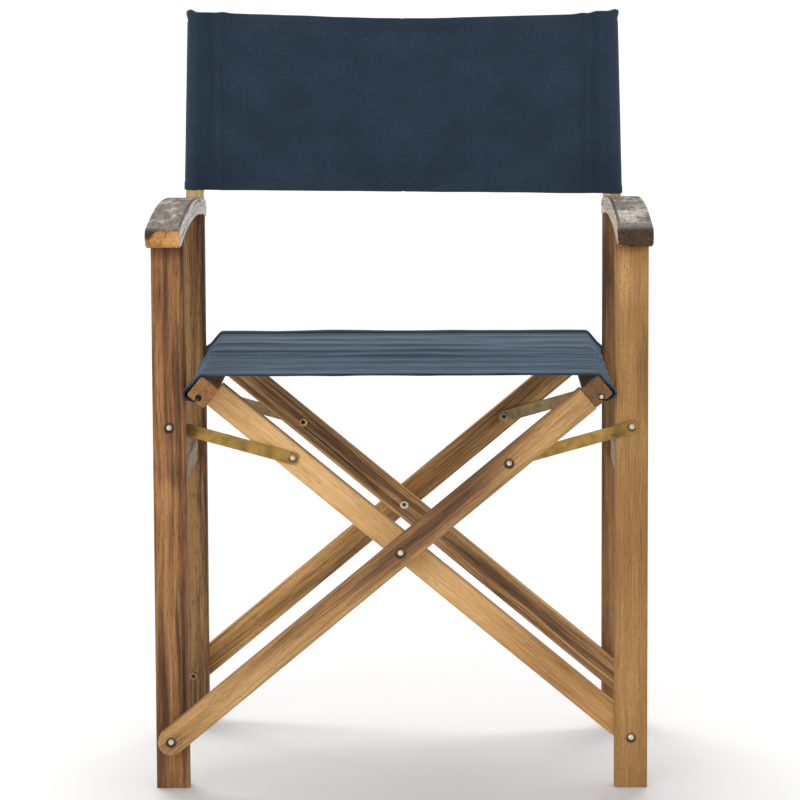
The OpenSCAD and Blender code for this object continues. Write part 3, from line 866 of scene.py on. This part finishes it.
def level_row(side, from_edge, upper):
    """A row of stitches along one half of a hem, in front of the cloth."""
    xs = side * np.linspace(0.0, SEAM_X - 5 * MM, ROW_POINTS)
    path = []
    for x in xs:
        z = back_top(x) - from_edge if upper else back_low(x) + from_edge
        path.append((x, back_y(x, z) - 0.6 * MM, z))
    return np.array(path), np.array([(0, -1, 0)] * len(xs), float)


# ---------------------------------------------------------------- dressing the frame

LEGS = ("left_front_leg", "left_rear_leg", "right_front_leg", "right_rear_leg")
BRACES = ("front_outer_brace", "front_inner_brace", "rear_outer_brace", "rear_inner_brace")
ANYWHERE = 10.0
BOLT_STAIN = 7.5 * MM
# radius of the painted shadow round the rivets and screws at the ends of the front links
LINK_SHADOW = 7.0 * MM
SOCKET = 3.2 * MM
FRONT_Y = -0.21  # depth of the front bolts' domes
INNER_Y = 0.17  # depth of the rear bolts' flanges
CENTRE_ALONG = 0.1737  # the centre pivot in a brace's turned axes: along the grain
CENTRE_ACROSS = 0.2093  # and across it


def give(material, *names):
    """Puts a material on CAD nodes."""
    for name in names:
        for slot in NODES[name].material_slots:
            slot.material = material


def leg_marks(*marks):
    """Soft marks on a leg, all through its depth. Each is x, z, half width, half height and amount."""
    return [((z, 0, -x), (high, ANYWHERE, wide), amount) for x, z, wide, high, amount in marks]


def brace_marks(side, *marks):
    """Soft marks on a brace. Each is the distance from the centre pivot to the rail, the distance up from
    the middle line, half length, half width and amount. side is 1 for an outer brace, -1 for an inner one."""
    return [
        ((side * (along + CENTRE_ALONG), 0, up + CENTRE_ACROSS), (long, ANYWHERE, wide), amount)
        for along, up, long, wide, amount in marks
    ]


def middle(node):
    """The middle of a CAD node's box."""
    low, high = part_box(node)
    return [(low[k] + high[k]) / 2 for k in range(3)]


def round_marks(nodes, radius, amount, y=0.0, depth=ANYWHERE, up=0.0):
    """A round mark over each node's middle, seen from the front. It reaches depth before and behind y."""
    marks = []
    for node in nodes:
        x, _, z = middle(node)
        marks.append(((x, y, z + up), (radius, depth, radius), amount))
    return marks


def bolt_marks(turn, *nodes):
    """Dark rings of oil and dirt round the bolts, in a wood's turned axes."""
    marks = []
    for node in nodes:
        x, _, z = middle(node)
        place = Euler(turn).to_matrix() @ Vector((x, 0, z))
        marks.append(((place.x, 0, place.z), (BOLT_STAIN, ANYWHERE, BOLT_STAIN), 1.3))
    return marks


def round_edges(width, *names):
    """Gives CAD nodes soft edges, with their vertices left as they are."""
    for name in names:
        piece = bpy.data.objects[name]
        mesh = piece.data
        if "custom_normal" in mesh.attributes:
            mesh.attributes.remove(mesh.attributes["custom_normal"])
        mesh.shade_smooth()
        weld = piece.modifiers.new("weld", "WELD")
        weld.merge_threshold = 1e-6
        plane = piece.modifiers.new("plane", "DECIMATE")
        plane.decimate_type = "DISSOLVE"
        plane.angle_limit = math.radians(0.5)
        bevel = piece.modifiers.new("bevel", "BEVEL")
        bevel.width = width
        bevel.segments = 3
        bevel.limit_method = "ANGLE"
        bevel.angle_limit = math.radians(35)
        bevel.use_clamp_overlap = False
        even = piece.modifiers.new("even", "WEIGHTED_NORMAL")
        even.weight = 100


def dress_legs():
    umber = ((182, 132, 84), (152, 106, 65), (110, 74, 47), (58, 40, 30))
    rear = ((160, 122, 78), (124, 90, 57), (88, 63, 42), (46, 34, 26))
    honey = ((208, 166, 108), (178, 135, 81), (146, 107, 63), (84, 60, 40))
    shade = ((172, 130, 82), (142, 103, 64), (108, 78, 50), (62, 44, 32))
    left = leg_marks(
        (-0.266, 0.57, 0.01, 0.075, 0.16),
        (-0.25, 0.55, 0.014, 0.12, -0.08),
        (-0.262, 0.41, 0.014, 0.05, 0.12),
        (-0.259, 0.36, 0.03, 0.03, 0.12),
        (-0.256, 0.33, 0.03, 0.03, -0.12),
        (-0.266, 0.12, 0.007, 0.14, 0.3),
        (-0.246, 0.1, 0.006, 0.1, 0.16),
        (-0.25, 0.26, 0.01, 0.09, -0.1),
        (-0.262, 0.612, 0.04, 0.016, 0.22),
    )
    left += bolt_marks(ALONG_Z, "left_link_screws", "left_pivot_bolts")
    give(wood("left_leg_wood", ALONG_Z, 1, umber, 0.8, 0.55, left, specks=0.3), "left_front_leg")
    left_rear = leg_marks(
        (-0.262, 0.5, 0.007, 0.16, -0.22),
        (-0.245, 0.56, 0.014, 0.12, 0.18),
        (-0.255, 0.24, 0.03, 0.14, -0.16),
        (-0.2425, 0.3, 0.004, 0.2, 0.18),
    )
    rear_wood = wood("left_rear_leg_wood", ALONG_Z, 2, rear, 0.95, 0.6, left_rear, specks=0.3)
    give(rear_wood, "left_rear_leg")
    right = leg_marks(
        (0.272, 0.48, 0.014, 0.09, 0.16),
        (0.25, 0.58, 0.014, 0.05, -0.2),
        (0.243, 0.55, 0.005, 0.2, 0.12),
        (0.262, 0.3, 0.04, 0.16, 0.12),
        (0.259, 0.12, 0.03, 0.1, -0.05),
        (0.259, 0.615, 0.04, 0.012, 0.25),
    )
    right += bolt_marks(ALONG_Z, "right_link_screws", "right_pivot_bolts")
    give(wood("right_leg_wood", ALONG_Z, 3, honey, 0.22, 0.25, right, specks=0.75), "right_front_leg")
    right_rear = leg_marks(
        (0.246, 0.55, 0.012, 0.1, 0.16),
        (0.25, 0.25, 0.03, 0.16, -0.1),
        (0.2415, 0.4, 0.004, 0.3, 0.16),
    )
    rear_wood = wood("right_rear_leg_wood", ALONG_Z, 4, shade, 0.6, 0.4, right_rear, specks=0.3)
    give(rear_wood, "right_rear_leg")


def dress_small_wood():
    """The stretchers, back posts and seat rails."""
    faded = ((204, 186, 160), (176, 156, 130), (140, 120, 98), (98, 82, 66))
    post = ((242, 206, 148), (222, 182, 124), (186, 146, 94), (132, 98, 62))
    amber = ((182, 130, 80), (160, 112, 68), (126, 87, 54), (66, 46, 34))
    umber_end = ((142, 102, 68), (122, 86, 57), (96, 66, 45), (56, 40, 30))
    for k, (side, rail) in enumerate((("left", amber), ("right", umber_end))):
        give(wood(side + "_stretcher_wood", ALONG_Y, 5 + k, faded, 0.9, 0.4), side + "_stretcher")
        give(wood(side + "_post_wood", ALONG_Z, 7 + k, post, 0.9, 0.4), side + "_back_post")
        give(wood(side + "_rail_wood", ALONG_Y, 9 + k, rail, 0.4, 0.4, specks=0.4), side + "_seat_rail")


def dress_arms():
    """The marks are in the arms' turned axes: from front to back, to the left, and up."""
    raw = ((226, 172, 106), (204, 148, 84), (168, 116, 64), (96, 64, 40))
    left_silver = [
        ((-0.12, 0.258, 0.645), (0.07, 0.014, 0.03), 0.12),
        ((-0.16, 0.25, 0.645), (0.09, 0.006, 0.04), -0.12),
        ((-0.215, 0.262, 0.64), (0.04, 0.03, 0.04), -0.18),
        ((-0.1, 0.272, 0.65), (0.05, 0.01, 0.04), -0.1),
        ((0.05, 0.262, 0.65), (0.16, 0.03, 0.04), 0.04),
    ]
    left_stain = [
        ((-0.232, 0.279, 0.632), (0.02, 0.014, 0.014), 0.9),
        ((-0.228, 0.268, 0.638), (0.02, 0.022, 0.008), 0.6),
        ((-0.09, 0.2438, 0.64), (0.165, 0.0022, 0.08), 5.0),
        ((-0.236, 0.263, 0.619), (0.01, 0.002, 0.006), 0.8),
    ]
    left = (left_silver, left_stain, srgb(250, 248, 242), srgb(206, 200, 190))
    give(wood("left_arm_wood", ALONG_Y, 11, raw, 0.6, 0.3, weather=left), "left_armrest")
    right_silver = [
        ((-0.16, -0.252, 0.645), (0.08, 0.018, 0.03), 0.2),
        ((-0.12, -0.272, 0.645), (0.06, 0.016, 0.03), 0.12),
        ((-0.216, -0.262, 0.64), (0.02, 0.03, 0.04), -0.3),
        ((-0.05, -0.248, 0.65), (0.05, 0.014, 0.04), -0.16),
        ((0.05, -0.262, 0.65), (0.16, 0.03, 0.04), 0.06),
    ]
    right_stain = [
        ((-0.234, -0.267, 0.626), (0.024, 0.038, 0.03), 1.9),
        ((-0.234, -0.246, 0.634), (0.02, 0.012, 0.01), 0.9),
        ((-0.09, -0.2438, 0.64), (0.165, 0.0022, 0.08), 5.0),
    ]
    right = (right_silver, right_stain, srgb(238, 222, 202), srgb(192, 170, 146))
    give(wood("right_arm_wood", ALONG_Y, 12, raw, 0.8, 0.4, weather=right), "right_armrest")


def dress_braces():
    straw = ((246, 208, 152), (231, 186, 126), (206, 158, 100), (150, 108, 66))
    wenge = ((212, 168, 110), (172, 130, 84), (122, 90, 60), (72, 54, 42))
    toffee = ((220, 178, 120), (188, 145, 92), (136, 98, 63), (78, 54, 38))
    walnut = ((222, 176, 112), (188, 144, 87), (148, 110, 67), (92, 66, 44))
    front_inner = brace_marks(
        -1,
        (-0.22, 0.0, 0.18, 0.04, 0.24),
        (0.25, 0.0, 0.05, 0.03, 0.1),
        (0.12, 0.0, 0.08, 0.02, -0.06),
        (-0.02, 0.0, 0.03, 0.03, 0.12),
        (-0.22, 0.012, 0.1, 0.004, 0.15),
    )
    inner = wood("front_inner_wood", ALONG_INNER, 13, straw, 0.28, 0.4, front_inner, specks=0.3)
    give(inner, "front_inner_brace")
    rear_inner = brace_marks(
        -1,
        (0.12, 0.004, 0.2, 0.01, 0.18),
        (-0.17, 0.002, 0.22, 0.01, 0.28),
        (0.27, 0.0, 0.05, 0.02, -0.1),
        (0.05, -0.014, 0.25, 0.005, -0.18),
        (-0.2, 0.014, 0.15, 0.005, -0.14),
    )
    give(wood("rear_inner_wood", ALONG_INNER, 14, wenge, 0.8, 0.4, rear_inner), "rear_inner_brace")
    front_outer = brace_marks(
        1,
        (0.03, 0.004, 0.2, 0.02, 0.24),
        (0.16, 0.012, 0.16, 0.008, 0.22),
        (-0.25, -0.004, 0.1, 0.014, -0.16),
        (-0.16, 0.01, 0.14, 0.006, 0.18),
        (0.21, 0.0, 0.12, 0.03, -0.16),
        (-0.335, 0.0, 0.03, 0.03, 0.06),
    )
    front_outer += bolt_marks(ALONG_OUTER, "centre_pivot_bolts", "outer_link_bolts", "left_pivot_bolts")
    outer = wood("front_outer_wood", ALONG_OUTER, 15, toffee, 0.42, 0.35, front_outer, specks=0.4)
    give(outer, "front_outer_brace")
    rear_outer = brace_marks(
        1,
        (-0.1, 0.0, 0.1, 0.02, 0.12),
        (-0.23, -0.012, 0.12, 0.006, -0.14),
        (0.2, 0.004, 0.1, 0.012, 0.12),
    )
    give(wood("rear_outer_wood", ALONG_OUTER, 16, walnut, 0.8, 0.5, rear_outer), "rear_outer_brace")


def dress_dowels():
    ends = ((200, 154, 98), (168, 124, 76), (126, 90, 56), (80, 56, 38))
    dowels = wood("dowel_wood", ALONG_Y, 17, ends, 0.8, 0.4)
    give(dowels, "left_joint_dowels", "right_joint_dowels", "left_rail_dowels", "right_rail_dowels")


def dress_metal():
    leg_bolts = ["left_pivot_bolts", "right_pivot_bolts", "left_link_screws", "right_link_screws"]
    ends = leg_bolts + ["outer_link_bolts", "centre_pivot_bolts", "front_left_rivet", "front_right_rivet"]
    # painted shadow on the front links, and round the rivets and screws at their ends
    shadow = [
        ((-0.240, -0.19, 0.405), (0.022, 0.05, 0.02), 1.0),
        ((0.240, -0.19, 0.405), (0.018, 0.05, 0.02), 0.5),
    ]
    link_ends = ("front_left_rivet", "front_right_rivet", "left_link_screws", "right_link_screws")
    shadow += round_marks(link_ends, LINK_SHADOW, 1.6)
    # painted shade in the sockets of the inner link bolts and the rear rivets
    socket_shade = round_marks(("inner_link_bolts", "rear_left_rivet", "rear_right_rivet"), SOCKET, 2.0)
    dull_flanges = round_marks(leg_bolts, 20 * MM, 1.5, INNER_Y, 0.1)
    # painted shade round each front dome, for its steep sides, with its crown, a little above the middle,
    # left light as a painted highlight, and painted shade in the socket of the flange behind it
    domes = round_marks(ends, 9 * MM, 2.2, FRONT_Y, 0.2)
    domes += round_marks(ends, 5 * MM, -3.6, FRONT_Y, 0.2, 0.6 * MM)
    domes += round_marks(ends, SOCKET, 2.0, INNER_Y, 0.1)
    brass = metal("yellow_plate", srgb(168, 136, 74), srgb(104, 82, 44), 0.38, 0.3, shadow)
    dull = metal("dull_plate", srgb(170, 150, 114), srgb(112, 94, 66), 0.5, 0.6)
    gilt = metal("gilt_steel", srgb(190, 166, 112), srgb(104, 84, 52), 0.32, 0.3, painted_shade=socket_shade)
    pewter = metal("pewter", srgb(164, 154, 130), srgb(104, 94, 76), 0.4, 0.5, painted_shade=socket_shade)
    domed = metal("domed_steel", srgb(222, 212, 196), srgb(136, 120, 90), 0.26, 0.2, dull_flanges, domes)
    steel = metal("steel", srgb(200, 190, 172), srgb(128, 116, 98), 0.28)
    give(brass, "front_left_link", "front_right_link")
    give(dull, "rear_left_link", "rear_right_link")
    give(gilt, "inner_link_bolts")
    give(pewter, "rear_left_rivet", "rear_right_rivet")
    give(domed, *ends)
    give(steel, "centre_spacers", "right_hem_rod")
    give(metal("dark_steel", srgb(70, 64, 58), srgb(38, 34, 30), 0.5), "left_hem_rod")


def dress_seat(navy, thread):
    seat, length, rows = seat_canvas()
    seat.data.materials.append(navy)
    seams = stitches("seat_stitches", rows, CLOTH * 0.6, thread)
    for piece in (seat, seams):
        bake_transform(piece)
    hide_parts("seat_canvas")


def dress_back(navy, thread):
    for side in (-1, 1):
        tag = side_name(side)
        wrap, length = sleeve(side)
        wrap.data.materials.append(navy)
        half = back_half(side)
        half.data.materials.append(navy)
        outer = stitches(tag + "_sleeve_stitches", [upright_row(side, SEAM_LINES[1])], 0, thread)
        hems = [level_row(side, BACK_HEM, True), level_row(side, BACK_HEM - 0.5 * MM, False)]
        inner = stitches(tag + "_back_stitches", [upright_row(side, SEAM_LINES[0]), *hems], 0, thread)
        for piece in (wrap, half, outer, inner):
            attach(piece, tag + "_sleeve")
        for piece in (half, inner):
            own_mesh(piece)
        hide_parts(tag + "_sleeve")
        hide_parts("back_canvas")


# ---------------------------------------------------------------- put it together

make_camera()
make_floor()
make_light()
round_edges(0.9 * MM, *LEGS, *BRACES, "left_stretcher", "right_stretcher")
round_edges(1.6 * MM, "left_armrest", "right_armrest")
round_edges(0.6 * MM, "left_seat_rail", "right_seat_rail", "left_back_post", "right_back_post")
dress_legs()
dress_small_wood()
dress_arms()
dress_braces()
dress_dowels()
dress_metal()
NAVY = woven("navy_canvas", srgb(64, 80, 99), srgb(36, 48, 63), srgb(106, 128, 150))
THREAD = thread_material("navy_thread", srgb(44, 54, 68), srgb(22, 29, 39))
dress_seat(NAVY, THREAD)
dress_back(NAVY, THREAD)

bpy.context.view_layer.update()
